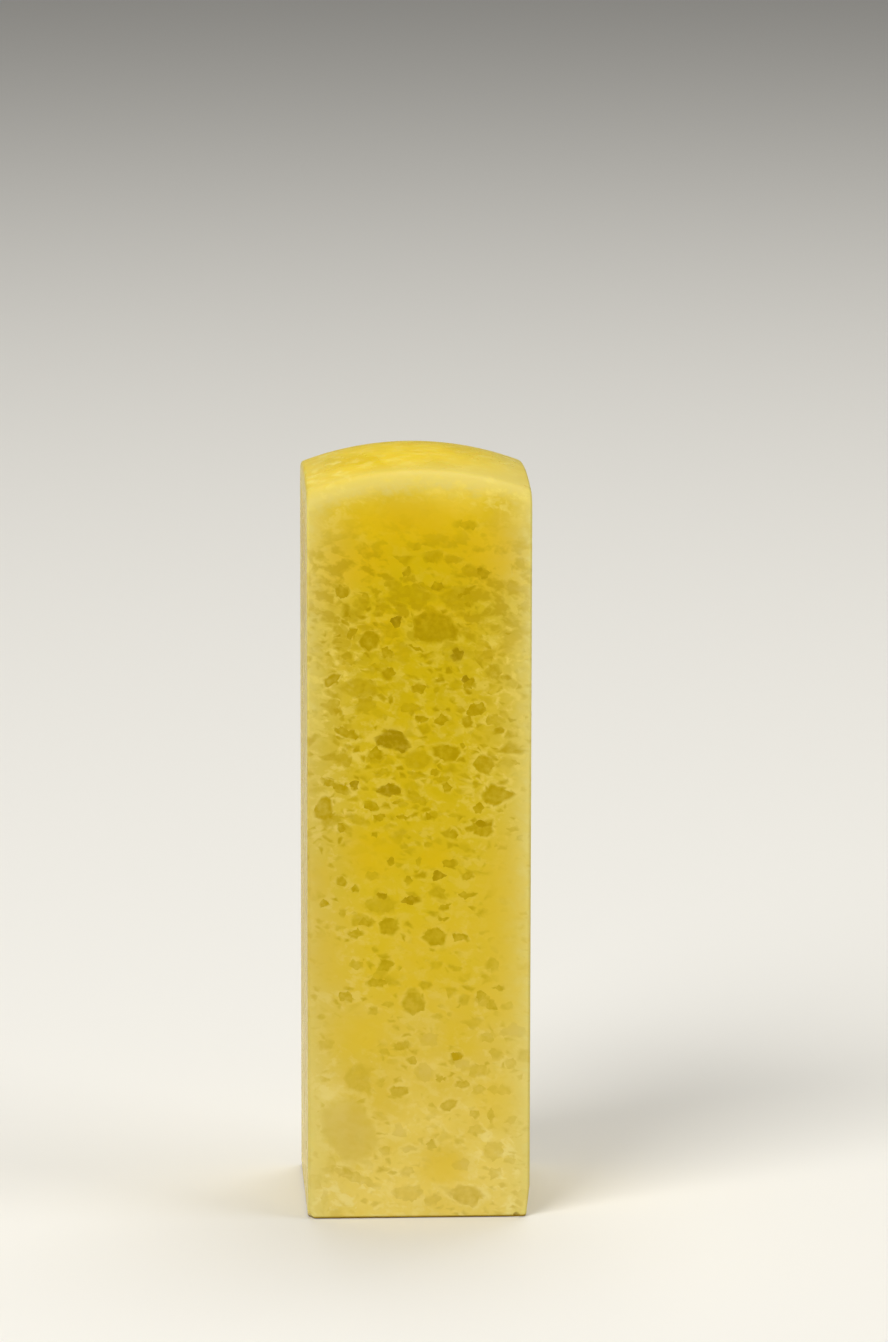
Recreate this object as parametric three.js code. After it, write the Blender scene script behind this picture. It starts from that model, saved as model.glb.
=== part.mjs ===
// A square seal stamp: one column of polished yellow soft stone.
// It stands on its seal face, which is ground flat, and its top is dressed to a low vault.
// Millimetres, +Z up, origin in the middle of the seal face, front face towards -Y.

import * as THREE from 'three';
import { mergeVertices } from 'three/addons/utils/BufferGeometryUtils.js';

// The column, measured face to face.
const columnWidth = 22;
const columnDepth = 22;
const shoulderHeight = 72.5;

// The vaulted top: how far it arches from side to side, and how far from front to back.
const vaultRise = 2.05;
const crownRise = 0.95;

// The edges: the front and back ones at the top are soft, all the others only just broken.
const topEdgeRadius = 1.7;
const shoulderRadius = 0.3;
const cornerRadius = 0.3;
const footBevel = 0.3;

// How finely the curved surfaces are divided into flat facets.
const topEdgeSteps = 6;
const shoulderSteps = 3;
const vaultSteps = 16;
const crownSteps = 8;

// Height of an arch above the line that it springs from, at an offset from its middle.
function archHeight(offset, span, rise) {
  const halfSpan = span / 2;
  const radius = (halfSpan * halfSpan + rise * rise) / (2 * rise);
  return Math.sqrt(radius * radius - offset * offset) - (radius - rise);
}

// How far a quarter-round edge falls away from the surface that it ends, at an offset from the middle.
function edgeDrop(offset, span, radius) {
  const reach = Math.abs(offset) - (span / 2 - radius);
  const intoEdge = THREE.MathUtils.clamp(reach, 0, radius);
  return radius - Math.sqrt(radius * radius - intoEdge * intoEdge);
}

// Height of the vaulted top over the seal face.
function topHeight(x, y) {
  const vault = archHeight(x, columnWidth, vaultRise) - edgeDrop(x, columnWidth, shoulderRadius);
  const crown = archHeight(y, columnDepth, crownRise) - edgeDrop(y, columnDepth, topEdgeRadius);
  return shoulderHeight + vault + crown;
}

// Places from one wall to the other where the surface has a line of points:
// they follow the quarter-round at each wall and are even in between.
function pointLines(span, edgeRadius, edgeSteps, middleSteps) {
  const halfSpan = span / 2;
  const halfMiddle = halfSpan - edgeRadius;
  const edge = [];
  for (let step = 0; step < edgeSteps; step += 1) {
    const angle = (Math.PI / 2) * (step / edgeSteps);
    edge.push(halfSpan - edgeRadius * (1 - Math.cos(angle)));
  }
  const middle = [];
  for (let step = 0; step <= middleSteps; step += 1) {
    middle.push(THREE.MathUtils.lerp(-halfMiddle, halfMiddle, step / middleSteps));
  }
  return [...edge.map((place) => -place), ...middle, ...edge.reverse()];
}

// Moves a point of the square plan that lies in one of its corners, so that the corner becomes round.
function roundedPlan(x, y) {
  const coreX = columnWidth / 2 - cornerRadius;
  const coreY = columnDepth / 2 - cornerRadius;
  const outX = Math.abs(x) - coreX;
  const outY = Math.abs(y) - coreY;
  if (outX <= 0 || outY <= 0) {
    return [x, y];
  }
  const pull = Math.max(outX, outY) / Math.hypot(outX, outY);
  return [Math.sign(x) * (coreX + outX * pull), Math.sign(y) * (coreY + outY * pull)];
}

// The column as one closed surface. A block with a grid of points on every side is taken, and each
// point moves to its place: on the seal face, on the upper edge of the foot bevel, or on the top.
function columnGeometry() {
  const linesX = pointLines(columnWidth, shoulderRadius, shoulderSteps, vaultSteps);
  const linesY = pointLines(columnDepth, topEdgeRadius, topEdgeSteps, crownSteps);
  const levels = ['seal face', 'foot', 'top'];
  const block = new THREE.BoxGeometry(1, 1, 1, linesX.length - 1, linesY.length - 1, levels.length - 1);
  const points = block.getAttribute('position');
  const lineOf = (coordinate, lines) => Math.round((coordinate + 0.5) * (lines.length - 1));

  for (let index = 0; index < points.count; index += 1) {
    const lineX = linesX[lineOf(points.getX(index), linesX)];
    const lineY = linesY[lineOf(points.getY(index), linesY)];
    const level = levels[lineOf(points.getZ(index), levels)];
    const [x, y] = roundedPlan(lineX, lineY);
    if (level === 'seal face') {
      const insetX = 1 - footBevel / (columnWidth / 2);
      const insetY = 1 - footBevel / (columnDepth / 2);
      points.setXYZ(index, x * insetX, y * insetY, 0);
    } else if (level === 'foot') {
      points.setXYZ(index, x, y, footBevel);
    } else {
      points.setXYZ(index, x, y, topHeight(x, y));
    }
  }

  block.clearGroups();
  block.deleteAttribute('normal');
  block.deleteAttribute('uv');
  const column = mergeVertices(block);
  column.computeVertexNormals();
  return column;
}

// The stone: warm yellow, let through by light at its edges, and polished to a soft gloss.
const polishedStone = new THREE.MeshStandardMaterial({
  color: 0xcfae2c,
  roughness: 0.18,
  metalness: 0,
});

const sealStone = new THREE.Mesh(columnGeometry(), polishedStone);
sealStone.name = 'seal_stone';

const group = new THREE.Group();
group.add(sealStone);

export default group;
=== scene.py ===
import bpy
import bmesh
import math
from mathutils import Matrix, Vector


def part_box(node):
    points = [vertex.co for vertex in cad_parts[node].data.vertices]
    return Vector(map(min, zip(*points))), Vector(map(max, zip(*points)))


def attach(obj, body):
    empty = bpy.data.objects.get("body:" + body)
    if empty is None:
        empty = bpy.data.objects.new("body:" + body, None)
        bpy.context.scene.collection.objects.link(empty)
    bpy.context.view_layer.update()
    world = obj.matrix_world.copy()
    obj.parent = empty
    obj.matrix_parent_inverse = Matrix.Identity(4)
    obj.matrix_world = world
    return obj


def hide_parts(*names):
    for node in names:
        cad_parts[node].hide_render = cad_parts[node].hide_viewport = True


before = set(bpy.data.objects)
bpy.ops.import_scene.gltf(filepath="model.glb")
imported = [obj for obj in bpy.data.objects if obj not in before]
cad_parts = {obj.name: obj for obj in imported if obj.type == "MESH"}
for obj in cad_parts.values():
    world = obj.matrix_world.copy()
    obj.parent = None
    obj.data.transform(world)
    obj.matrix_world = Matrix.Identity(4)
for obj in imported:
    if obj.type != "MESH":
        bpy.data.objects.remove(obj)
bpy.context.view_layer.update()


# The stone: one square column of yellow soft stone, sawn from its block and lapped flat on four sides.
# The top is dressed to a low vault, soft at the front and back edges; every other edge is only just
# broken. Nothing is fitted to it: it is handle, body and seal face in one.

MM = 0.001
VAULT_RISE = 2.05 * MM
CROWN_RISE = 0.95 * MM
VAULT_STRIPS = 32
CROWN_STRIPS = 12
TOP_EDGE_RADIUS = 1.7 * MM
TOP_EDGE_FACETS = 10
BROKEN_EDGE = 0.3 * MM
BROKEN_EDGE_FACETS = 4
FOOT_GROUND_IN = 0.35 * MM
FOOT_GROUND_HEIGHT = 3.2 * MM
WORN_CORNER = 0.8 * MM
WORN_SLOPE = (-1, -0.6, -1.1)
NEAR = 0.01 * MM
SHARP = math.radians(40)


def arch(offset, half_span, rise):
    """Height of a shallow arch above its springing line."""
    radius = (half_span ** 2 + rise ** 2) / (2 * rise)
    return math.sqrt(radius ** 2 - offset ** 2) - (radius - rise)


def pick(kind, wanted):
    """Selects the vertices, edges or faces (kind) of the piece in edit mode for which wanted is true."""
    bpy.ops.mesh.select_all(action="DESELECT")
    bpy.ops.mesh.select_mode(type={"verts": "VERT", "edges": "EDGE", "faces": "FACE"}[kind])
    mesh = bmesh.from_edit_mesh(bpy.context.object.data)
    for element in getattr(mesh, kind):
        if wanted(element):
            element.select_set(True)
    mesh.select_flush_mode()
    bmesh.update_edit_mesh(bpy.context.object.data)


def on_wall(vertex, axis, half_span):
    """Whether a vertex lies on one of the two walls that are half_span out along an axis."""
    return abs(abs(vertex.co[axis]) - half_span) < NEAR


_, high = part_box("seal_stone")
half_width = high.x
half_depth = high.y
shoulder_height = high.z - VAULT_RISE - CROWN_RISE

bpy.ops.object.select_all(action="DESELECT")
bpy.ops.mesh.primitive_cube_add(size=1, location=(0, 0, shoulder_height / 2))
stone = bpy.context.object
stone.name = "stone_column"
bpy.ops.transform.resize(value=(2 * half_width, 2 * half_depth, shoulder_height))
bpy.ops.object.transform_apply(location=True, rotation=True, scale=True)

# The right side was ground in a little at the foot, most at the front.
bpy.ops.object.mode_set(mode="EDIT")
bpy.ops.mesh.select_all(action="SELECT")
bpy.ops.mesh.bisect(plane_co=(0, 0, FOOT_GROUND_HEIGHT), plane_no=(0, 0, 1))
pick("verts", lambda v: v.co.z < NEAR and v.co.x > half_width - NEAR and v.co.y < NEAR - half_depth)
bpy.ops.transform.translate(value=(-FOOT_GROUND_IN, 0, 0))

# The top face is ruled off in strips both ways, and each line of it is lifted to the vault.
for axis, half_span, strips in ((0, half_width, VAULT_STRIPS), (1, half_depth, CROWN_STRIPS)):
    for strip in range(1, strips):
        line = Vector((0, 0, 0))
        line[axis] = half_span * (2 * strip / strips - 1)
        across = Vector((0, 0, 0))
        across[axis] = 1
        pick("faces", lambda face: face.normal.z > 0.5)
        bpy.ops.mesh.bisect(plane_co=line, plane_no=across)
for axis, half_span, strips, rise in (
    (0, half_width, VAULT_STRIPS, VAULT_RISE),
    (1, half_depth, CROWN_STRIPS, CROWN_RISE),
):
    for strip in range(1, strips):
        line = half_span * (2 * strip / strips - 1)
        pick("verts", lambda v: v.co.z > shoulder_height - NEAR and abs(v.co[axis] - line) < NEAR)
        bpy.ops.transform.translate(value=(0, 0, arch(line, half_span, rise)))

# The vault is soft at the front and back. All sharp edges are broken together, and the front left corner
# of the foot is worn off.
pick("edges", lambda e: all(on_wall(v, 1, half_depth) and v.co.z > shoulder_height - NEAR for v in e.verts))
bpy.ops.mesh.bevel(offset=TOP_EDGE_RADIUS, segments=TOP_EDGE_FACETS, affect="EDGES")
pick("edges", lambda e: e.calc_face_angle() > SHARP)
bpy.ops.mesh.bevel(offset=BROKEN_EDGE, segments=BROKEN_EDGE_FACETS, affect="EDGES")
bpy.ops.mesh.select_all(action="SELECT")
bpy.ops.mesh.bisect(
    plane_co=(WORN_CORNER - half_width, -half_depth, 0),
    plane_no=WORN_SLOPE,
    use_fill=True,
    clear_outer=True,
)
bpy.ops.object.mode_set(mode="OBJECT")

# Nicks knocked out of the edges in use: place and radius of each, in mm, and the seed of its shape.
# The unevenness is how far a nick strays from a round one, as a share of its radius.
NICK_UNEVENNESS = 0.3
NICKS = (
    (9.7, -11.15, 0.1, 0.45, 0),
    (10.5, -11.1, 0.05, 0.3, 1),
    (-4.2, -11.1, 0.0, 0.28, 2),
    (-11.05, -11.05, 36.5, 0.26, 3),
    (-11.1, -11.0, 38.0, 0.22, 4),
    (11.05, -11.05, 61.0, 0.2, 5),
    (-11.1, 11.05, 22.0, 0.3, 7),
    (11.15, 3.0, 0.05, 0.35, 8),
    (3.0, 11.1, 0.05, 0.32, 9),
)
for x, y, z, radius, seed in NICKS:
    bpy.ops.mesh.primitive_ico_sphere_add(
        subdivisions=2, radius=radius * MM, location=(x * MM, y * MM, z * MM)
    )
    nick = bpy.context.object
    bpy.ops.object.mode_set(mode="EDIT")
    bpy.ops.transform.vertex_random(offset=NICK_UNEVENNESS * radius * MM, seed=seed)
    bpy.ops.object.mode_set(mode="OBJECT")
    bpy.ops.object.select_all(action="DESELECT")
    bpy.context.view_layer.objects.active = stone
    stone.select_set(True)
    cut = stone.modifiers.new("nick", "BOOLEAN")
    cut.operation = "DIFFERENCE"
    cut.object = nick
    bpy.ops.object.modifier_apply(modifier="nick")
    bpy.data.objects.remove(nick)
bpy.ops.object.shade_smooth_by_angle(angle=SHARP)
stone.modifiers.new("face_normals", "WEIGHTED_NORMAL").keep_sharp = True
bpy.ops.object.modifier_apply(modifier="face_normals")


def linear(hex_colour):
    """The linear colour that a socket takes, from an sRGB hex value."""
    channels = [int(hex_colour[start:start + 2], 16) / 255 for start in (1, 3, 5)]
    return [c / 12.92 if c <= 0.04045 else ((c + 0.055) / 1.055) ** 2.4 for c in channels] + [1]


def result(node):
    """The output that a node gives with its present settings."""
    return next(socket for socket in node.outputs if socket.enabled)


def add_node(tree, kind, inputs, stops=None, **settings):
    """Adds a node with its settings. An input is a value, or the node or socket that feeds it."""
    node = tree.nodes.new(kind)
    for name, value in settings.items():
        setattr(node, name, value)
    for name, value in inputs.items():
        socket = node.inputs[name]
        if isinstance(name, str):
            socket = next(s for s in node.inputs if s.enabled and s.name == name)
        if isinstance(value, bpy.types.Node):
            tree.links.new(result(value), socket)
        elif isinstance(value, bpy.types.NodeSocket):
            tree.links.new(value, socket)
        elif isinstance(value, str):
            socket.default_value = linear(value)
        else:
            socket.default_value = value
    if stops:
        ramp = node.color_ramp.elements
        while len(ramp) < len(stops):
            ramp.new(0.5)
        for element, (place, colour) in zip(ramp, stops):
            element.position = place
            element.color = linear(colour) if isinstance(colour, str) else (colour, colour, colour, 1)
    return node


def warped(tree, place, grain, shift):
    """Place, shifted by a noise of the given grain in mm, up to about half of shift each way."""
    noise = add_node(tree, "ShaderNodeTexNoise", {"Vector": place, "Scale": 1 / grain})
    centred = add_node(
        tree,
        "ShaderNodeVectorMath",
        {0: noise.outputs["Color"], 1: (0.5, 0.5, 0.5)},
        operation="SUBTRACT",
    )
    return add_node(
        tree,
        "ShaderNodeVectorMath",
        {0: centred, 1: (shift, shift, shift), 2: place},
        operation="MULTIPLY_ADD",
    )


def scattered_fragments(tree, place, size, share, rim, seed):
    """Masks of angular fragments about size mm across, which fill a share of the stone, and of the net of
    paler stone between them. An outline fades over rim, a share of the size, and seed moves the whole
    pattern."""
    moved = add_node(tree, "ShaderNodeVectorMath", {0: place, 1: (seed, seed, seed)}, operation="ADD")
    cells = add_node(tree, "ShaderNodeTexVoronoi", {"Vector": moved, "Scale": 1 / size})
    edges = add_node(
        tree, "ShaderNodeTexVoronoi", {"Vector": moved, "Scale": 1 / size}, feature="DISTANCE_TO_EDGE"
    )
    chance = add_node(tree, "ShaderNodeSeparateColor", {"Color": cells.outputs["Color"]})
    chosen = add_node(
        tree, "ShaderNodeMath", {0: chance.outputs["Red"], 1: share}, operation="LESS_THAN"
    )
    inset = add_node(
        tree, "ShaderNodeMapRange", {"Value": chance.outputs["Blue"], "To Min": 0.02, "To Max": 0.16}
    )
    full = add_node(tree, "ShaderNodeMath", {0: inset, 1: rim}, operation="ADD")
    inside = add_node(
        tree,
        "ShaderNodeMapRange",
        {"Value": edges, "From Min": inset, "From Max": full},
        interpolation_type="SMOOTHSTEP",
    )
    depth = add_node(
        tree, "ShaderNodeMapRange", {"Value": chance.outputs["Green"], "To Min": 0.15, "To Max": 1.0}
    )
    shown = add_node(tree, "ShaderNodeMath", {0: chosen, 1: inside}, operation="MULTIPLY")
    mask = add_node(tree, "ShaderNodeMath", {0: shown, 1: depth}, operation="MULTIPLY")
    net = add_node(
        tree,
        "ShaderNodeMapRange",
        {"Value": edges, "From Min": 0.3, "From Max": 0.0},
        interpolation_type="SMOOTHSTEP",
    )
    return mask, net


def placed_fragments(tree, places, spots, outlines, rim):
    """How far out a place is in the nearest fragment, where 1 is its outline, and the fragments' mask.
    Spots are round, and outlines are the corners of angular fragments. Both taper off behind the front,
    and fade over rim, a share of the way to the outline."""
    nearest = None
    for fall, group in spots.items():
        level = Matrix.Rotation(math.radians(-fall), 3, "Y")
        for across, up, wide, tall in group:
            middle = level @ Vector((across, FRONT, up))
            half = Vector((wide / 2, wide / 2, tall / 2))
            local = add_node(
                tree,
                "ShaderNodeVectorMath",
                {
                    0: places[fall],
                    1: [1 / side for side in half],
                    2: [-offset / side for offset, side in zip(middle, half)],
                },
                operation="MULTIPLY_ADD",
            )
            out = add_node(tree, "ShaderNodeVectorMath", {0: local}, operation="LENGTH")
            if nearest:
                out = add_node(tree, "ShaderNodeMath", {0: nearest, 1: out}, operation="MINIMUM")
            nearest = out
    for corners in outlines:
        corners = [Vector(corner) for corner in corners]
        middle = sum(corners, Vector((0, 0))) / len(corners)
        reach = sum((corner - middle).length for corner in corners) / len(corners)
        local = add_node(
            tree,
            "ShaderNodeVectorMath",
            {0: places["angular"], 1: (middle.x, FRONT, middle.y)},
            operation="SUBTRACT",
        )
        out = None
        for start, end in zip(corners, corners[1:] + corners[:1]):
            square = Vector((end.y - start.y, start.x - end.x))
            square /= square.dot(start - middle)
            side = add_node(
                tree,
                "ShaderNodeVectorMath",
                {0: local, 1: (square.x, 1 / reach, square.y)},
                operation="DOT_PRODUCT",
            )
            if out:
                side = add_node(tree, "ShaderNodeMath", {0: out, 1: side}, operation="MAXIMUM")
            out = side
        nearest = add_node(tree, "ShaderNodeMath", {0: nearest, 1: out}, operation="MINIMUM")
    mask = add_node(
        tree,
        "ShaderNodeMapRange",
        {"Value": nearest, "From Min": 1 + rim, "From Max": 1 - rim},
        interpolation_type="SMOOTHSTEP",
    )
    return nearest, mask


# Fragments that show in the front face, in mm: across from its middle and up from the seal face. Spots
# also have a width and a height, and are listed by the degrees that they fall to the right. Outlines
# give the corners of the larger angular fragments. Dark, ochre, faint and greyish ones are listed apart.
FRONT = -half_depth / MM
DARK_SPOTS = {
    22: ((-3.6, 32.7, 1.1, 0.5),),
    0: (
        (-2.2, 60.1, 1.1, 1.1),
        (3.75, 56.7, 1.3, 1.3),
        (-6.35, 43.7, 0.9, 0.9),
        (6.4, 39.8, 1.4, 0.7),
        (1.85, 34.7, 1.2, 1.1),
        (-0.8, 32.3, 1.9, 0.8),
        (3.7, 16.6, 1.3, 0.8),
        (4.5, 54.2, 0.8, 0.6),
    ),
}
DARK_OUTLINES = (
    ((-4.3, 48.5), (-3.2, 49.4), (-2.0, 49.2), (-1.2, 48.3), (-0.9, 47.5), (-1.5, 47.0), (-4.0, 47.8)),
    ((-4.2, 43.1), (-3.7, 43.7), (-2.7, 44.0), (-1.9, 43.5), (-1.8, 43.0), (-3.0, 42.6)),
)
OCHRE_SPOTS = {
    22: (
        (-4.7, 41.8, 1.8, 0.9),
        (-8.3, 43.9, 2.8, 0.8),
        (-7.0, 48.9, 2.0, 0.8),
        (-7.8, 49.3, 1.2, 0.6),
        (-7.1, 22.5, 1.8, 0.9),
        (-0.4, 57.4, 2.2, 0.5),
        (7.1, 21.6, 1.4, 0.8),
        (-1.3, 64.9, 0.8, 1.1),
    ),
    0: (
        (-7.55, 63.0, 1.5, 1.3),
        (-6.6, 59.0, 1.0, 1.0),
        (-3.2, 57.0, 0.9, 1.2),
        (-3.1, 54.8, 1.4, 1.2),
        (-0.1, 53.4, 1.1, 1.2),
        (6.3, 64.8, 1.5, 1.0),
        (-2.8, 52.3, 0.5, 1.3),
        (4.6, 50.1, 1.0, 1.0),
        (2.2, 50.2, 1.2, 1.0),
        (0.2, 50.4, 1.0, 0.8),
        (1.7, 63.6, 1.3, 0.8),
        (1.9, 54.2, 1.0, 0.6),
        (4.3, 47.8, 0.5, 0.8),
        (-4.4, 46.9, 1.6, 1.1),
        (1.4, 45.1, 0.9, 0.6),
        (2.7, 43.5, 1.2, 0.9),
        (-3.9, 40.6, 1.2, 0.7),
        (-1.7, 40.5, 1.3, 0.6),
        (0.9, 40.7, 0.6, 0.7),
        (-2.3, 42.0, 1.2, 0.6),
        (5.8, 41.4, 1.3, 0.8),
        (-4.4, 38.8, 0.7, 0.6),
        (-2.8, 36.0, 0.9, 0.8),
        (-6.3, 28.9, 1.7, 1.0),
        (-3.4, 25.7, 1.4, 1.4),
        (4.0, 28.4, 1.6, 0.7),
        (-7.6, 34.2, 1.0, 0.9),
        (3.25, 38.7, 0.8, 1.0),
        (3.0, 35.9, 1.3, 0.7),
        (-1.1, 34.1, 0.8, 0.9),
        (4.7, 34.5, 1.1, 0.9),
        (4.8, 32.7, 1.9, 0.5),
        (-9.2, 32.0, 0.9, 0.7),
        (-5.2, 30.0, 1.2, 0.9),
        (2.4, 30.3, 0.9, 0.4),
        (-4.0, 23.9, 2.0, 0.7),
        (7.9, 23.4, 1.2, 0.6),
        (6.1, 22.4, 1.1, 0.9),
        (-0.8, 16.1, 1.0, 0.8),
        (-1.7, 17.6, 1.8, 0.8),
        (2.2, 14.1, 1.2, 0.7),
        (4.2, 13.5, 1.3, 0.7),
        (7.1, 10.4, 0.7, 1.6),
        (5.5, 10.6, 0.7, 0.8),
        (1.15, 7.6, 1.0, 1.0),
    ),
    -30: (
        (5.5, 51.2, 1.9, 1.2),
        (4.6, 63.0, 2.0, 0.6),
        (4.8, 53.8, 1.5, 0.7),
        (-6.2, 33.4, 0.7, 1.1),
        (-7.7, 39.6, 0.6, 1.1),
        (2.7, 31.7, 1.3, 0.7),
    ),
}
OCHRE_OUTLINES = (
    (
        (-0.6, 60.3),
        (0.5, 61.0),
        (1.8, 61.0),
        (3.1, 60.3),
        (3.8, 59.3),
        (3.6, 58.4),
        (1.2, 57.8),
        (-0.6, 58.5),
    ),
    ((-5.9, 58.3), (-5.3, 59.1), (-4.5, 59.2), (-3.8, 58.5), (-4.2, 57.5), (-5.0, 57.1), (-5.7, 57.6)),
    ((-9.4, 54.4), (-8.4, 54.9), (-7.3, 54.8), (-8.2, 54.1), (-8.8, 53.4), (-9.3, 53.7)),
    ((1.2, 47.5), (2.3, 47.8), (3.8, 47.5), (4.0, 47.0), (3.5, 46.2), (2.4, 46.1), (1.4, 46.8)),
    ((5.2, 45.9), (6.0, 46.8), (7.3, 46.4), (7.4, 45.7), (6.9, 44.8), (5.8, 45.1)),
    ((6.1, 42.7), (7.1, 43.9), (8.2, 43.4), (9.6, 42.8), (8.6, 42.2), (7.3, 41.6), (6.5, 42.0)),
    ((5.2, 40.0), (7.1, 40.2), (7.2, 39.0), (6.6, 38.4), (5.3, 38.8)),
    ((-10.3, 41.5), (-9.7, 42.5), (-8.7, 42.7), (-8.5, 41.1), (-9.3, 40.3), (-10.2, 40.6)),
    ((0.3, 28.5), (0.9, 29.3), (2.0, 29.4), (2.7, 28.7), (2.4, 27.7), (1.2, 27.5)),
    ((-3.9, 29.9), (-3.4, 30.5), (-2.1, 30.4), (-2.0, 29.4), (-2.6, 28.7), (-3.7, 29.0)),
    ((-1.7, 21.9), (-1.1, 22.9), (0.0, 23.0), (0.5, 21.9), (0.4, 21.1), (-0.7, 20.7), (-1.6, 21.2)),
    ((-2.9, 13.1), (-2.5, 13.5), (-1.1, 13.4), (-1.1, 12.7), (-1.9, 12.3), (-2.7, 12.5)),
    ((2.0, 11.3), (2.7, 12.1), (3.9, 12.0), (3.6, 11.2), (3.0, 10.8), (2.4, 10.9)),
    ((2.9, 2.5), (4.0, 3.3), (5.5, 3.1), (6.4, 2.2), (5.3, 1.1), (3.8, 1.6)),
)
FAINT_SPOTS = {
    22: (
        (-5.5, 62.0, 1.0, 2.0),
        (-1.9, 63.3, 3.2, 1.1),
        (-7.5, 46.4, 1.9, 1.4),
        (-0.25, 42.5, 2.3, 1.0),
        (-6.0, 40.4, 2.2, 0.8),
        (6.5, 21.9, 2.4, 1.1),
        (-6.3, 4.2, 5.0, 0.8),
    ),
    0: (
        (1.3, 66.5, 1.9, 1.3),
        (1.9, 63.4, 2.4, 0.9),
        (4.5, 69.6, 2.3, 0.8),
        (-9.3, 64.1, 1.4, 0.6),
        (-6.5, 60.8, 2.1, 1.3),
        (-8.5, 51.8, 1.5, 1.5),
        (7.2, 54.8, 1.7, 1.2),
        (-4.4, 55.4, 1.7, 1.0),
        (-6.8, 56.1, 1.8, 0.7),
        (-2.7, 58.8, 1.3, 1.0),
        (-4.0, 61.2, 1.0, 1.0),
        (0.2, 63.5, 1.5, 1.0),
        (-0.6, 62.5, 4.0, 1.5),
        (3.7, 66.1, 1.3, 0.7),
        (4.8, 65.1, 1.6, 1.1),
        (-5.2, 51.8, 2.0, 1.4),
        (-0.9, 51.5, 2.4, 0.6),
        (7.4, 50.1, 1.8, 1.2),
        (-4.3, 46.5, 1.9, 1.2),
        (-3.7, 45.0, 1.5, 0.8),
        (-0.2, 44.6, 1.8, 0.6),
        (2.2, 44.3, 1.6, 0.7),
        (-1.9, 42.0, 1.5, 0.8),
        (9.2, 45.9, 1.4, 0.5),
        (9.2, 39.3, 1.0, 0.6),
        (-1.3, 37.6, 1.0, 0.8),
        (-0.1, 36.0, 0.7, 0.9),
        (-3.9, 31.8, 3.3, 1.8),
        (1.85, 33.2, 1.2, 1.1),
        (-4.6, 34.7, 1.2, 0.9),
        (-7.5, 31.1, 1.0, 0.8),
        (-6.1, 25.8, 1.3, 0.8),
        (7.25, 25.6, 1.3, 1.2),
        (8.7, 21.4, 1.2, 0.7),
        (1.7, 20.4, 1.1, 0.7),
        (-4.4, 21.0, 1.3, 0.7),
        (-3.1, 21.7, 1.0, 0.5),
        (-9.1, 17.7, 1.8, 1.0),
        (-3.5, 17.0, 1.0, 0.9),
        (6.8, 18.3, 1.5, 1.0),
        (7.6, 16.7, 1.2, 1.1),
        (9.0, 15.7, 1.4, 1.0),
        (5.8, 15.0, 2.0, 1.1),
        (8.1, 12.9, 2.4, 1.0),
        (-3.7, 13.8, 1.0, 1.3),
        (5.9, 13.1, 1.1, 0.8),
        (5.6, 8.9, 1.4, 1.0),
        (4.0, 7.7, 1.0, 0.8),
        (7.3, 6.8, 1.9, 2.2),
        (9.0, 5.8, 1.2, 0.6),
        (7.6, 4.4, 1.3, 1.2),
        (-1.2, 4.8, 1.4, 1.1),
        (-3.4, 6.8, 1.3, 0.9),
        (-3.3, 5.0, 1.3, 0.6),
        (1.4, 1.9, 1.8, 1.0),
        (-10.3, 3.9, 1.4, 1.5),
        (-9.3, 2.1, 0.8, 1.5),
        (10.3, 2.3, 1.0, 1.4),
        (-1.1, 2.6, 2.8, 1.6),
    ),
    -30: (
        (6.5, 56.7, 1.9, 1.0),
        (0.1, 67.5, 1.4, 0.5),
        (1.05, 40.6, 1.4, 0.7),
        (-4.3, 24.5, 2.2, 0.9),
        (9.1, 10.0, 1.5, 0.6),
    ),
}
FAINT_OUTLINES = (
    ((-3.4, 67.4), (-2.6, 66.6), (-0.6, 66.5), (-1.3, 65.6), (-2.1, 65.2), (-2.9, 65.9)),
    ((1.9, 62.6), (3.4, 63.4), (5.3, 63.5), (5.3, 61.6), (3.6, 61.0), (2.6, 61.5)),
    ((-8.0, 53.5), (-6.3, 54.5), (-4.5, 54.2), (-4.0, 52.8), (-6.0, 52.4)),
    ((-1.3, 46.7), (-0.4, 47.2), (0.7, 47.0), (1.2, 46.3), (0.7, 45.5), (-0.4, 45.3), (-1.4, 45.8)),
    ((-7.4, 14.3), (-6.8, 15.4), (-5.7, 15.7), (-4.8, 15.2), (-4.8, 12.7), (-5.7, 12.9), (-7.0, 13.3)),
)
GREYISH_SPOTS = {
    0: (
        (9.3, 18.9, 2.6, 1.4),
        (4.3, 15.6, 1.5, 1.3),
        (0.6, 14.8, 2.0, 1.9),
        (1.0, 18.2, 2.0, 1.4),
        (-1.9, 8.8, 1.4, 1.4),
        (-1.0, 7.1, 1.7, 0.7),
        (4.3, 5.4, 1.8, 1.5),
    ),
}
GREYISH_OUTLINES = (
    (
        (-9.6, 10.5),
        (-8.9, 11.8),
        (-7.3, 12.5),
        (-5.8, 11.8),
        (-5.1, 10.5),
        (-4.3, 9.0),
        (-4.1, 7.4),
        (-5.1, 6.2),
        (-6.4, 5.6),
        (-7.5, 6.0),
        (-9.4, 8.5),
    ),
)
# Stretches of clear, saturated stone with few fragments, listed as the spots are.
CLEAR_ZONES = {
    0: (
        (-0.5, 70.2, 13.0, 3.6),
        (-6.5, 65.5, 6.0, 4.0),
        (7.0, 66.5, 5.0, 7.0),
        (-4.8, 37.0, 5.0, 5.0),
        (8.4, 31.0, 4.6, 14.0),
        (9.0, 23.0, 4.5, 8.0),
        (1.5, 36.5, 3.0, 2.5),
        (-9.8, 34.5, 2.4, 4.0),
        (-9.3, 26.5, 3.0, 6.0),
        (-6.5, 19.0, 6.0, 4.0),
        (8.0, 12.0, 4.0, 5.0),
        (2.5, 5.0, 4.5, 3.4),
    ),
}

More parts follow.
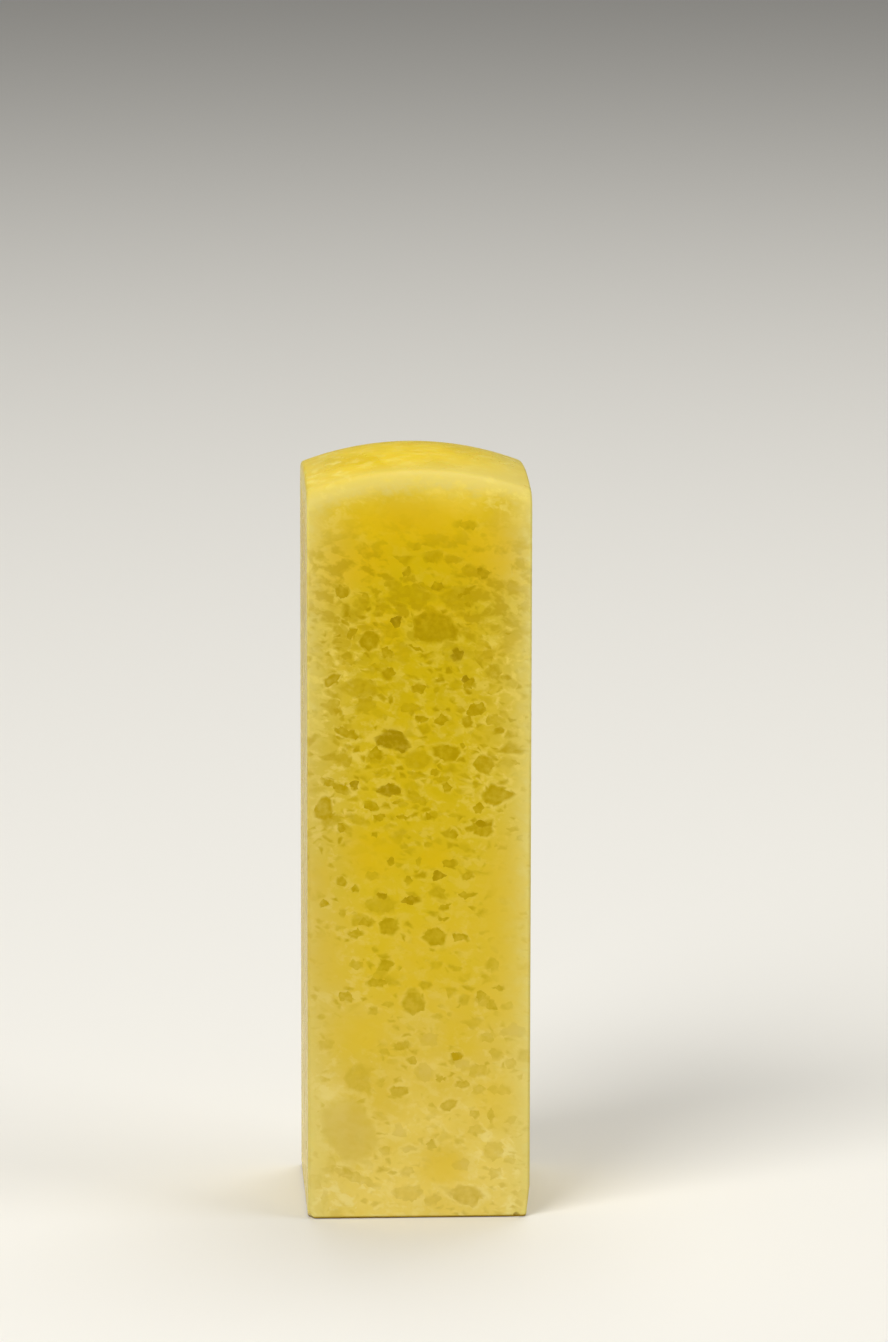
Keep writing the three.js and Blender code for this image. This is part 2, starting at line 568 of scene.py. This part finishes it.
# Polished soapstone: lapped flat on wet paper, then waxed. Saturated yellow with darker angular
# fragments at all depths, a net of paler stone between them, and a painted glow of light coming through at
# the edges.
HALF_SIDE = half_width / MM
TOP = high.z / MM
material = bpy.data.materials.new("polished_yellow_soapstone")
material.use_nodes = True
tree = material.node_tree
shader = tree.nodes["Principled BSDF"]

coordinates = add_node(tree, "ShaderNodeTexCoord", {})
in_mm = add_node(
    tree, "ShaderNodeMapping", {"Vector": coordinates.outputs["Object"], "Scale": (1000, 1000, 1000)}
)
axes = add_node(tree, "ShaderNodeSeparateXYZ", {"Vector": in_mm})

# The stone's bedding falls to the right, and everything in it is a little flattened along it.
BEDDING_FALL = math.radians(14)
BEDDING_FLATTENING = 0.7
bedding = add_node(
    tree,
    "ShaderNodeMapping",
    {"Vector": in_mm, "Rotation": (0, BEDDING_FALL, 0), "Scale": (1, 1, BEDDING_FLATTENING)},
    vector_type="TEXTURE",
)
bent = warped(tree, bedding, grain=2.4, shift=1.5)
torn = warped(tree, bent, grain=0.5, shift=0.25)

# Ground colour: deepest in the upper half, paler and greyer to the foot, drifting in slow clouds.
CLOUD_SIZE = 6
CLOUD_DRIFT = 6
cloud = add_node(tree, "ShaderNodeTexNoise", {"Vector": bedding, "Scale": 1 / CLOUD_SIZE, "Detail": 3})
drift = add_node(
    tree,
    "ShaderNodeMapRange",
    {"Value": cloud, "From Min": 0.3, "From Max": 0.7, "To Min": -CLOUD_DRIFT, "To Max": CLOUD_DRIFT},
)
drifted = add_node(tree, "ShaderNodeMath", {0: axes.outputs["Z"], 1: drift}, operation="ADD")
level = add_node(tree, "ShaderNodeMapRange", {"Value": drifted, "From Max": TOP})
height = add_node(tree, "ShaderNodeMapRange", {"Value": axes.outputs["Z"], "From Max": TOP})
ground = add_node(
    tree,
    "ShaderNodeValToRGB",
    {"Fac": level},
    stops=[
        (0.0, "#E9CF62"),
        (0.2, "#DABD44"),
        (0.33, "#D9BA28"),
        (0.46, "#D5B81A"),
        (0.58, "#D1B40C"),
        (0.76, "#CCB004"),
        (0.88, "#D5B304"),
        (0.96, "#DEBE08"),
        (1.0, "#E8C828"),
    ],
)
pale = add_node(
    tree,
    "ShaderNodeValToRGB",
    {"Fac": level},
    stops=[(0.0, "#F0DE8A"), (0.2, "#E2CA66"), (0.4, "#E0C552"), (0.7, "#E0C74C"), (1.0, "#F0DA68")],
)
ochre = add_node(
    tree,
    "ShaderNodeValToRGB",
    {"Fac": height},
    stops=[(0.0, "#CAAF44"), (0.16, "#C3A626"), (0.33, "#B89C08"), (0.5, "#B59800"), (0.8, "#AE9100")],
)
dark = add_node(
    tree,
    "ShaderNodeValToRGB",
    {"Fac": height},
    stops=[(0.0, "#C6A830"), (0.2, "#BF9F10"), (0.33, "#B39500"), (0.5, "#AC8F00"), (0.8, "#A18400")],
)
clear = add_node(
    tree,
    "ShaderNodeValToRGB",
    {"Fac": height},
    stops=[(0.0, "#E4C440"), (0.3, "#DBBB24"), (0.5, "#D9B604"), (0.85, "#D9B402"), (1.0, "#E0B800")],
)

# Share of the stone that the fragments fill: most in the upper middle, none in the top few millimetres.
share = add_node(
    tree,
    "ShaderNodeValToRGB",
    {"Fac": height},
    stops=[(0.0, 0.6), (0.3, 0.55), (0.45, 0.5), (0.55, 0.85), (0.78, 0.8), (0.84, 0.3), (0.89, 0.0)],
)
PATCH_SIZE = 4
patchy = add_node(tree, "ShaderNodeTexNoise", {"Vector": in_mm, "Scale": 1 / PATCH_SIZE, "Detail": 1})
patchy = add_node(
    tree,
    "ShaderNodeMapRange",
    {"Value": patchy, "From Min": 0.35, "From Max": 0.65, "To Min": 0.45, "To Max": 1.3},
)
share = add_node(tree, "ShaderNodeMath", {0: share, 1: patchy}, operation="MULTIPLY")

# Large scattered fragments are rarer at the front, where the large ones are placed one by one.
off_front = add_node(
    tree,
    "ShaderNodeMapRange",
    {
        "Value": axes.outputs["Y"],
        "From Min": FRONT + 0.2,
        "From Max": FRONT + 2.5,
        "To Min": 0.1,
        "To Max": 0.3,
    },
)
large_share = add_node(tree, "ShaderNodeMath", {0: share, 1: off_front}, operation="MULTIPLY")
large, _ = scattered_fragments(tree, torn, size=3.1, share=large_share, rim=0.18, seed=3.1)
middle_share = add_node(tree, "ShaderNodeMath", {0: share, 1: 0.5}, operation="MULTIPLY")
middle, middle_net = scattered_fragments(tree, torn, size=1.7, share=middle_share, rim=0.25, seed=11.7)
small, small_net = scattered_fragments(tree, torn, size=1.0, share=share, rim=0.3, seed=23.9)

# The placed fragments are drawn on a place that is pulled towards the middle of small cells, which
# breaks their outlines.
CRUMB_SIZE = 0.6
kneaded = warped(tree, in_mm, grain=0.9, shift=0.6)
crumbs = add_node(tree, "ShaderNodeTexVoronoi", {"Vector": kneaded, "Scale": 1 / CRUMB_SIZE})
broken = add_node(
    tree,
    "ShaderNodeMix",
    {"Factor": 0.55, "A": warped(tree, in_mm, grain=1.1, shift=0.5), "B": crumbs.outputs["Position"]},
    data_type="VECTOR",
)
ragged = add_node(
    tree,
    "ShaderNodeMix",
    {"Factor": 0.22, "A": warped(tree, in_mm, grain=1.1, shift=0.25), "B": crumbs.outputs["Position"]},
    data_type="VECTOR",
)

# Spots that fall to the right, or to the left, are drawn on a place that is turned as far.
places = {0: broken, "angular": ragged}
for fall in (22, -30):
    places[fall] = add_node(
        tree,
        "ShaderNodeMapping",
        {"Vector": broken, "Rotation": (0, math.radians(fall), 0)},
        vector_type="TEXTURE",
    )
dark_away, dark_mask = placed_fragments(tree, places, DARK_SPOTS, DARK_OUTLINES, rim=0.14)
ochre_away, ochre_mask = placed_fragments(tree, places, OCHRE_SPOTS, OCHRE_OUTLINES, rim=0.18)
faint_away, faint_mask = placed_fragments(tree, places, FAINT_SPOTS, FAINT_OUTLINES, rim=0.24)
greyish_away, greyish_mask = placed_fragments(tree, places, GREYISH_SPOTS, GREYISH_OUTLINES, rim=0.17)
_, clear_mask = placed_fragments(tree, places, CLEAR_ZONES, (), rim=0.6)
calm = add_node(tree, "ShaderNodeMath", {0: clear_mask, 1: greyish_mask}, operation="MAXIMUM")

# All the yellow-brown fragments together, as a depth of colour: the scattered ones, which the clear
# zones and the greyish fragments hold back, then the placed ones, a little darker at the rim. It is
# mottled, and fades at the foot.
scattered = large
for mask, strength in ((middle, 0.95), (small, 0.85)):
    layer = add_node(tree, "ShaderNodeMath", {0: mask, 1: strength}, operation="MULTIPLY")
    scattered = add_node(tree, "ShaderNodeMath", {0: scattered, 1: layer}, operation="MAXIMUM")
outside = add_node(tree, "ShaderNodeMapRange", {"Value": calm, "To Min": 1.0, "To Max": 0.2})
depth = add_node(tree, "ShaderNodeMath", {0: scattered, 1: outside}, operation="MULTIPLY")
for mask, away, strength in ((faint_mask, faint_away, 0.6), (ochre_mask, ochre_away, 0.95)):
    rim = add_node(
        tree,
        "ShaderNodeMapRange",
        {"Value": away, "From Min": 0.5, "From Max": 0.95, "To Min": 0.8 * strength, "To Max": strength},
    )
    layer = add_node(tree, "ShaderNodeMath", {0: mask, 1: rim}, operation="MULTIPLY")
    depth = add_node(tree, "ShaderNodeMath", {0: depth, 1: layer}, operation="MAXIMUM")
MOTTLE_GRAIN = 0.6
mottle = add_node(tree, "ShaderNodeTexNoise", {"Vector": in_mm, "Scale": 1 / MOTTLE_GRAIN, "Detail": 3})
uneven = add_node(
    tree,
    "ShaderNodeMapRange",
    {"Value": mottle, "From Min": 0.3, "From Max": 0.7, "To Min": 0.65, "To Max": 1.25},
)
depth = add_node(tree, "ShaderNodeMath", {0: depth, 1: uneven}, operation="MULTIPLY")
fresh = add_node(
    tree, "ShaderNodeValToRGB", {"Fac": height}, stops=[(0.0, 0.75), (0.28, 0.85), (0.4, 1.0)]
)
depth = add_node(tree, "ShaderNodeMath", {0: depth, 1: fresh}, operation="MULTIPLY")

# Under the vault the fragments are small and blurred into a ragged cloud.
SMOKE_GRAIN = 1.5
smoke = add_node(
    tree, "ShaderNodeTexNoise", {"Vector": torn, "Scale": 1 / SMOKE_GRAIN, "Detail": 3, "Roughness": 0.5}
)
smoke = add_node(tree, "ShaderNodeMapRange", {"Value": smoke, "From Min": 0.48, "From Max": 0.6})
high_up = add_node(
    tree,
    "ShaderNodeValToRGB",
    {"Fac": height},
    stops=[(0.4, 0.0), (0.72, 0.15), (0.8, 0.6), (0.87, 0.6), (0.93, 0.1)],
)
smoke = add_node(tree, "ShaderNodeMath", {0: smoke, 1: high_up}, operation="MULTIPLY")
depth = add_node(tree, "ShaderNodeMath", {0: depth, 1: smoke}, operation="MAXIMUM")

# Pale net between the small fragments, cottony wisps, and pale stone against the placed fragments.
COTTON_GRAIN = 1.6
cotton = add_node(
    tree, "ShaderNodeTexNoise", {"Vector": torn, "Scale": 1 / COTTON_GRAIN, "Detail": 4, "Roughness": 0.6}
)
wisps = add_node(
    tree,
    "ShaderNodeMapRange",
    {"Value": cotton, "From Min": 0.46, "From Max": 0.64},
    interpolation_type="SMOOTHSTEP",
)
cottony = add_node(tree, "ShaderNodeMapRange", {"Value": cotton, "From Min": 0.35, "From Max": 0.55})
net = add_node(tree, "ShaderNodeMath", {0: small_net, 1: middle_net}, operation="ADD")
net = add_node(tree, "ShaderNodeMath", {0: net, 1: cottony}, operation="MULTIPLY")
net = add_node(tree, "ShaderNodeMath", {0: net, 1: 0.15}, operation="MULTIPLY")
paler = add_node(tree, "ShaderNodeMath", {0: wisps, 1: net}, operation="MAXIMUM")
for away in (ochre_away, dark_away, greyish_away):
    halo = add_node(
        tree,
        "ShaderNodeMapRange",
        {"Value": away, "From Min": 1.7, "From Max": 1.2},
        interpolation_type="SMOOTHSTEP",
    )
    halo = add_node(tree, "ShaderNodeMath", {0: halo, 1: cottony}, operation="MULTIPLY")
    paler = add_node(tree, "ShaderNodeMath", {0: paler, 1: halo}, operation="MAXIMUM")
cover = add_node(
    tree,
    "ShaderNodeValToRGB",
    {"Fac": height},
    stops=[(0.0, 0.7), (0.45, 0.5), (0.55, 0.75), (0.72, 0.7), (0.8, 0.3), (0.9, 0.12), (0.96, 0.65)],
)
inside = add_node(tree, "ShaderNodeMapRange", {"Value": calm, "To Min": 1.0, "To Max": 0.4})
cover = add_node(tree, "ShaderNodeMath", {0: cover, 1: inside}, operation="MULTIPLY")
outward = add_node(tree, "ShaderNodeMath", {0: axes.outputs["X"]}, operation="ABSOLUTE")
outward = add_node(
    tree,
    "ShaderNodeMapRange",
    {"Value": outward, "From Min": 3.5, "From Max": 8, "To Min": 0.7, "To Max": 1.5},
)
cover = add_node(
    tree, "ShaderNodeMath", {0: cover, 1: outward}, operation="MULTIPLY", use_clamp=True
)
paler = add_node(tree, "ShaderNodeMath", {0: paler, 1: cover}, operation="MULTIPLY")
unveiled = add_node(
    tree, "ShaderNodeMapRange", {"Value": depth, "From Max": 0.9, "To Min": 1.0, "To Max": 0.0}
)
paler = add_node(tree, "ShaderNodeMath", {0: paler, 1: unveiled}, operation="MULTIPLY")
colour = add_node(tree, "ShaderNodeMix", {"Factor": paler, "A": ground, "B": pale}, data_type="RGBA")
richer = add_node(tree, "ShaderNodeMath", {0: clear_mask, 1: 0.6}, operation="MULTIPLY")
colour = add_node(tree, "ShaderNodeMix", {"Factor": richer, "A": colour, "B": clear}, data_type="RGBA")

# Painted light: a paler colour stands for light coming through at the edges, over the last few millimetres,
# and fades the fragments there. The cotton is added to the distance from the edge, which makes the painted
# glow ragged. It keeps its full strength up to the reach, and drops to about a third of it over each fall
# beyond that.
GLOW_REACH = 1.5
GLOW_FALL = 1.7
GLOW_RAGGEDNESS = 3.0
GLOW_STRENGTH = 0.95
gaps = []
for axis in ("X", "Y"):
    out = add_node(tree, "ShaderNodeMath", {0: axes.outputs[axis]}, operation="ABSOLUTE")
    gaps.append(add_node(tree, "ShaderNodeMath", {0: HALF_SIDE, 1: out}, operation="SUBTRACT"))
gap_above = add_node(tree, "ShaderNodeMath", {0: TOP, 1: axes.outputs["Z"]}, operation="SUBTRACT")
nearest_wall = add_node(tree, "ShaderNodeMath", {0: gaps[0], 1: gaps[1]}, operation="MINIMUM")
other_wall = add_node(tree, "ShaderNodeMath", {0: gaps[0], 1: gaps[1]}, operation="MAXIMUM")
to_edge = add_node(tree, "ShaderNodeMath", {0: nearest_wall, 1: gap_above}, operation="MAXIMUM")
to_edge = add_node(tree, "ShaderNodeMath", {0: to_edge, 1: other_wall}, operation="MINIMUM")
to_edge = add_node(
    tree, "ShaderNodeMath", {0: cotton, 1: GLOW_RAGGEDNESS, 2: to_edge}, operation="MULTIPLY_ADD"
)
falling = add_node(
    tree,
    "ShaderNodeMapRange",
    {
        "Value": to_edge,
        "From Min": GLOW_REACH,
        "From Max": GLOW_REACH + GLOW_FALL,
        "To Min": 0,
        "To Max": -1,
    },
    clamp=False,
)
falling = add_node(tree, "ShaderNodeMath", {0: falling, 1: 0}, operation="MINIMUM")
glow = add_node(tree, "ShaderNodeMath", {0: falling}, operation="EXPONENT")

# Less light comes from the left, most clearly in the middle of the height, so the painted glow is weaker
# there, and painted shade makes the stone a little greyer towards its left edge.
leftward = add_node(
    tree,
    "ShaderNodeMapRange",
    {"Value": axes.outputs["X"], "From Min": -2, "From Max": 2, "To Min": 1, "To Max": 0},
)
dimming = add_node(
    tree,
    "ShaderNodeValToRGB",
    {"Fac": height},
    stops=[(0.1, 0.1), (0.35, 0.6), (0.6, 0.6), (0.68, 0.25), (0.9, 0.2)],
)
dimmed = add_node(tree, "ShaderNodeMath", {0: leftward, 1: dimming}, operation="MULTIPLY")
passed = add_node(tree, "ShaderNodeMath", {0: GLOW_STRENGTH, 1: dimmed}, operation="SUBTRACT")
glow = add_node(tree, "ShaderNodeMath", {0: glow, 1: passed}, operation="MULTIPLY")
colour = add_node(tree, "ShaderNodeMix", {"Factor": glow, "A": colour, "B": "#E0D17A"}, data_type="RGBA")
# Painted shade: the colour greys towards the left edge.
far_left = add_node(
    tree,
    "ShaderNodeMapRange",
    {"Value": axes.outputs["X"], "From Min": -5, "From Max": -10.5, "To Max": 0.2},
)
painted_left_shade = add_node(tree, "ShaderNodeMath", {0: far_left, 1: dimming}, operation="MULTIPLY")
colour = add_node(tree, "ShaderNodeMix", {"Factor": painted_left_shade, "A": colour, "B": "#A29684"}, data_type="RGBA")

# The fragments are laid over the ground: yellow-brown ones first, then dark ones, then greyish ones,
# which are yellower at the rim.
# The fragments fade under the painted glow at the edges.
kept = add_node(tree, "ShaderNodeMapRange", {"Value": glow, "To Min": 1.0, "To Max": 0.2})
depth = add_node(tree, "ShaderNodeMath", {0: depth, 1: kept}, operation="MULTIPLY")
colour = add_node(tree, "ShaderNodeMix", {"Factor": depth, "A": colour, "B": ochre}, data_type="RGBA")
darkened = add_node(tree, "ShaderNodeMath", {0: dark_mask, 1: uneven}, operation="MULTIPLY")
darkened = add_node(tree, "ShaderNodeMath", {0: darkened, 1: kept}, operation="MULTIPLY", use_clamp=True)
colour = add_node(tree, "ShaderNodeMix", {"Factor": darkened, "A": colour, "B": dark}, data_type="RGBA")
rim = add_node(tree, "ShaderNodeMapRange", {"Value": greyish_away, "From Min": 0.35, "From Max": 0.95})
greyish = add_node(tree, "ShaderNodeMix", {"Factor": rim, "A": "#B8A05C", "B": "#B69A30"}, data_type="RGBA")
tint = add_node(tree, "ShaderNodeMath", {0: greyish_mask, 1: 0.2}, operation="MULTIPLY")
colour = add_node(tree, "ShaderNodeMix", {"Factor": tint, "A": colour, "B": greyish}, data_type="RGBA")

# Vault: ochre streaks along its curve, and a painted highlight band in cream on its soft front and back
# edges, for light coming through the rounding; the cream is a little darker at the top of the rounding, as
# painted shade where the lamps light it most. The band follows a parabola that sags a little under the
# vault, and climbs a little to the right.
CREST_SAG = 0.2 * MM
CREST_CLIMB = 0.04
STREAK_SIZE = (5, 1.2, 1.5)
squared = add_node(
    tree, "ShaderNodeMath", {0: axes.outputs["X"], 1: axes.outputs["X"]}, operation="MULTIPLY"
)
vault = add_node(
    tree,
    "ShaderNodeMath",
    {
        0: squared,
        1: (CREST_SAG - VAULT_RISE) / MM / HALF_SIDE ** 2,
        2: (shoulder_height + VAULT_RISE - CREST_SAG) / MM,
    },
    operation="MULTIPLY_ADD",
)
below = add_node(tree, "ShaderNodeMath", {0: vault, 1: axes.outputs["Z"]}, operation="SUBTRACT")
below = add_node(
    tree, "ShaderNodeMath", {0: axes.outputs["X"], 1: CREST_CLIMB, 2: below}, operation="MULTIPLY_ADD"
)
flow = add_node(
    tree, "ShaderNodeMapping", {"Vector": torn, "Scale": STREAK_SIZE}, vector_type="TEXTURE"
)
streaks = add_node(tree, "ShaderNodeTexNoise", {"Vector": flow, "Scale": 1, "Detail": 3})
streaks = add_node(
    tree,
    "ShaderNodeMapRange",
    {"Value": streaks, "From Min": 0.42, "From Max": 0.72, "To Max": 0.45},
    interpolation_type="SMOOTHSTEP",
)
on_vault = add_node(tree, "ShaderNodeMapRange", {"Value": below, "From Min": -0.1, "From Max": -0.4})
streaks = add_node(tree, "ShaderNodeMath", {0: streaks, 1: on_vault}, operation="MULTIPLY")
colour = add_node(tree, "ShaderNodeMix", {"Factor": streaks, "A": colour, "B": "#E2BC24"}, data_type="RGBA")
down_crest = add_node(tree, "ShaderNodeMapRange", {"Value": below, "From Min": -0.5, "From Max": 2.0})
crest_light_colour = add_node(
    tree,
    "ShaderNodeValToRGB",
    {"Fac": down_crest},
    stops=[(0.0, "#D8C25C"), (0.25, "#DAC666"), (0.6, "#DCCA70"), (1.0, "#DCC85C")],
)
clouded = add_node(tree, "ShaderNodeMath", {0: cotton, 1: 4.5, 2: below}, operation="MULTIPLY_ADD")
over = add_node(
    tree,
    "ShaderNodeMapRange",
    {"Value": clouded, "From Min": 4.3, "From Max": 2.4},
    interpolation_type="SMOOTHSTEP",
)
under = add_node(tree, "ShaderNodeMapRange", {"Value": below, "From Min": -1.0, "From Max": -0.2})
# Painted highlight: the cream band on the soft edges of the vault.
crest_light_share = add_node(tree, "ShaderNodeMath", {0: over, 1: under}, operation="MULTIPLY")
crest_light_share = add_node(tree, "ShaderNodeMath", {0: crest_light_share, 1: 0.85}, operation="MULTIPLY")
colour = add_node(tree, "ShaderNodeMix", {"Factor": crest_light_share, "A": colour, "B": crest_light_colour}, data_type="RGBA")

# Painted shade darkens the broken edge round the foot, where the contact shadow falls, and the lower half
# of the upright edges.
EDGE_WIDTH = BROKEN_EDGE / MM
at_foot = add_node(
    tree,
    "ShaderNodeMapRange",
    {"Value": axes.outputs["Z"], "From Min": EDGE_WIDTH, "From Max": 0.4 * EDGE_WIDTH},
)
at_wall = add_node(
    tree, "ShaderNodeMapRange", {"Value": nearest_wall, "From Min": 2 * EDGE_WIDTH, "From Max": EDGE_WIDTH}
)
foot_shade = add_node(tree, "ShaderNodeMath", {0: at_foot, 1: at_wall}, operation="MULTIPLY")
at_corner = add_node(tree, "ShaderNodeMapRange", {"Value": other_wall, "From Min": 0.35, "From Max": 0.15})
down = add_node(
    tree, "ShaderNodeMapRange", {"Value": height, "From Min": 0.65, "From Max": 0.5, "To Max": 0.2}
)
upright_edge_shade = add_node(tree, "ShaderNodeMath", {0: at_corner, 1: down}, operation="MULTIPLY")
line = add_node(tree, "ShaderNodeMath", {0: foot_shade, 1: upright_edge_shade}, operation="MAXIMUM")
# The painted shade along the foot and the upright edges is laid over the colour.
colour = add_node(tree, "ShaderNodeMix", {"Factor": line, "A": colour, "B": "#A08018"}, data_type="RGBA")

# The seal face is sanded, not polished: paler and matt, with scratches along the paper's strokes. Real
# ones are too fine to show, so these are drawn 0.2 mm wide.
SCRATCH_SIZE = (9, 0.2, 1)
STROKE_TURN = math.radians(20)
SCRATCH_DEPTH = 0.02 * MM
sanded = add_node(
    tree, "ShaderNodeMapRange", {"Value": axes.outputs["Z"], "From Min": 0.04, "From Max": 0.01}
)
strokes = add_node(
    tree,
    "ShaderNodeMapping",
    {"Vector": in_mm, "Rotation": (0, 0, STROKE_TURN), "Scale": SCRATCH_SIZE},
    vector_type="TEXTURE",
)
scratches = add_node(tree, "ShaderNodeTexNoise", {"Vector": strokes, "Scale": 1, "Detail": 2})
dulled = add_node(
    tree,
    "ShaderNodeMapRange",
    {"Value": scratches, "From Min": 0.35, "From Max": 0.65, "To Min": 0.15, "To Max": 0.5},
)
dulled = add_node(tree, "ShaderNodeMath", {0: dulled, 1: sanded}, operation="MULTIPLY")
colour = add_node(tree, "ShaderNodeMix", {"Factor": dulled, "A": colour, "B": "#EADCA2"}, data_type="RGBA")
tree.links.new(result(colour), shader.inputs["Base Color"])

# Gloss: a soft waxed polish that drifts with the clouds, with little shine and a little depth of light.
polish = add_node(tree, "ShaderNodeMapRange", {"Value": cloud, "To Min": 0.22, "To Max": 0.34})
roughness = add_node(tree, "ShaderNodeMix", {"Factor": sanded, "A": polish, "B": 0.65})
tree.links.new(result(roughness), shader.inputs["Roughness"])
relief = add_node(tree, "ShaderNodeMath", {0: scratches, 1: sanded}, operation="MULTIPLY")
bump = add_node(tree, "ShaderNodeBump", {"Height": relief, "Strength": 0.4, "Distance": SCRATCH_DEPTH})
tree.links.new(result(bump), shader.inputs["Normal"])
shader.inputs["IOR"].default_value = 1.55
shader.inputs["Specular IOR Level"].default_value = 0.03
shader.inputs["Subsurface Weight"].default_value = 0.2
shader.inputs["Subsurface Radius"].default_value = (1.0, 0.7, 0.2)
shader.inputs["Subsurface Scale"].default_value = 1.5 * MM
stone.data.materials.append(material)

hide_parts("seal_stone")
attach(stone, "root")


# The floor: a plain sheet of pale matt paper that the stone stands on. It lies a hair below the seal
# face, so that the two surfaces never share a place.
FLOOR_WIDTH = 4
FLOOR_GAP = 0.02 * MM
bpy.ops.mesh.primitive_plane_add(size=FLOOR_WIDTH, location=(0, 0, -FLOOR_GAP))
floor = bpy.context.object
floor.name = "floor"
paper = bpy.data.materials.new("pale_matt_paper")
paper.use_nodes = True
paper_shader = paper.node_tree.nodes["Principled BSDF"]
paper_shader.inputs["Base Color"].default_value = linear("#ECE9E1")
paper_shader.inputs["Roughness"].default_value = 0.8
paper_shader.inputs["Specular IOR Level"].default_value = 0.1
floor.data.materials.append(paper)


# The camera stands at the photograph's viewing angle, distance and angle of view: about 0.7 m in front
# of the stone, a little to its left, looking ten degrees down through a long lens.
IMAGE_HEIGHT = 1342
FOCAL_LENGTH_IN_PIXELS = 7003
CAMERA_PLACE = (-31.3 * MM, -683.1 * MM, 179.6 * MM)
CAMERA_TURN_IN_DEGREES = (79.52, -0.098, -2.852)
camera_data = bpy.data.cameras.new("camera")
camera = bpy.data.objects.new("camera", camera_data)
bpy.context.collection.objects.link(camera)
camera_data.sensor_fit = "VERTICAL"
camera_data.sensor_height = 36
camera_data.lens = FOCAL_LENGTH_IN_PIXELS * camera_data.sensor_height / IMAGE_HEIGHT
camera.location = CAMERA_PLACE
camera.rotation_euler = [math.radians(turn) for turn in CAMERA_TURN_IN_DEGREES]
bpy.context.scene.camera = camera


# Three softboxes light the stone: one from the front left, a weaker one from the right, and one from
# above and behind. The world is dim, and the camera alone sees it as a pale wall.
SOFTBOX_WIDTH = 0.6


def softbox(name, place, aim, size, power):
    """A square area lamp that faces the point that it is aimed at."""
    data = bpy.data.lights.new(name, "AREA")
    data.energy = power
    data.size = size
    lamp = bpy.data.objects.new(name, data)
    lamp.location = place
    lamp.rotation_euler = (Vector(aim) - Vector(place)).to_track_quat("-Z", "Y").to_euler()
    bpy.context.collection.objects.link(lamp)


middle_of_stone = (0, 0, 0.04)
softbox("key", (-0.53, -0.64, 0.76), middle_of_stone, SOFTBOX_WIDTH, power=8.7)
softbox("fill", (0.8, -0.3, 0.6), middle_of_stone, SOFTBOX_WIDTH, power=2.9)
softbox("overhead", (0.1, 0.35, 1.0), middle_of_stone, SOFTBOX_WIDTH, power=5.1)

world = bpy.data.worlds.new("world")
bpy.context.scene.world = world
world.use_nodes = True
ray = add_node(world.node_tree, "ShaderNodeLightPath", {})
wall = add_node(
    world.node_tree,
    "ShaderNodeMix",
    {"Factor": ray.outputs["Is Camera Ray"], "A": "#6C6C6C", "B": "#D8D8D8"},
    data_type="RGBA",
)
world.node_tree.links.new(result(wall), world.node_tree.nodes["Background"].inputs["Color"])
bpy.context.scene.view_settings.view_transform = "Standard"
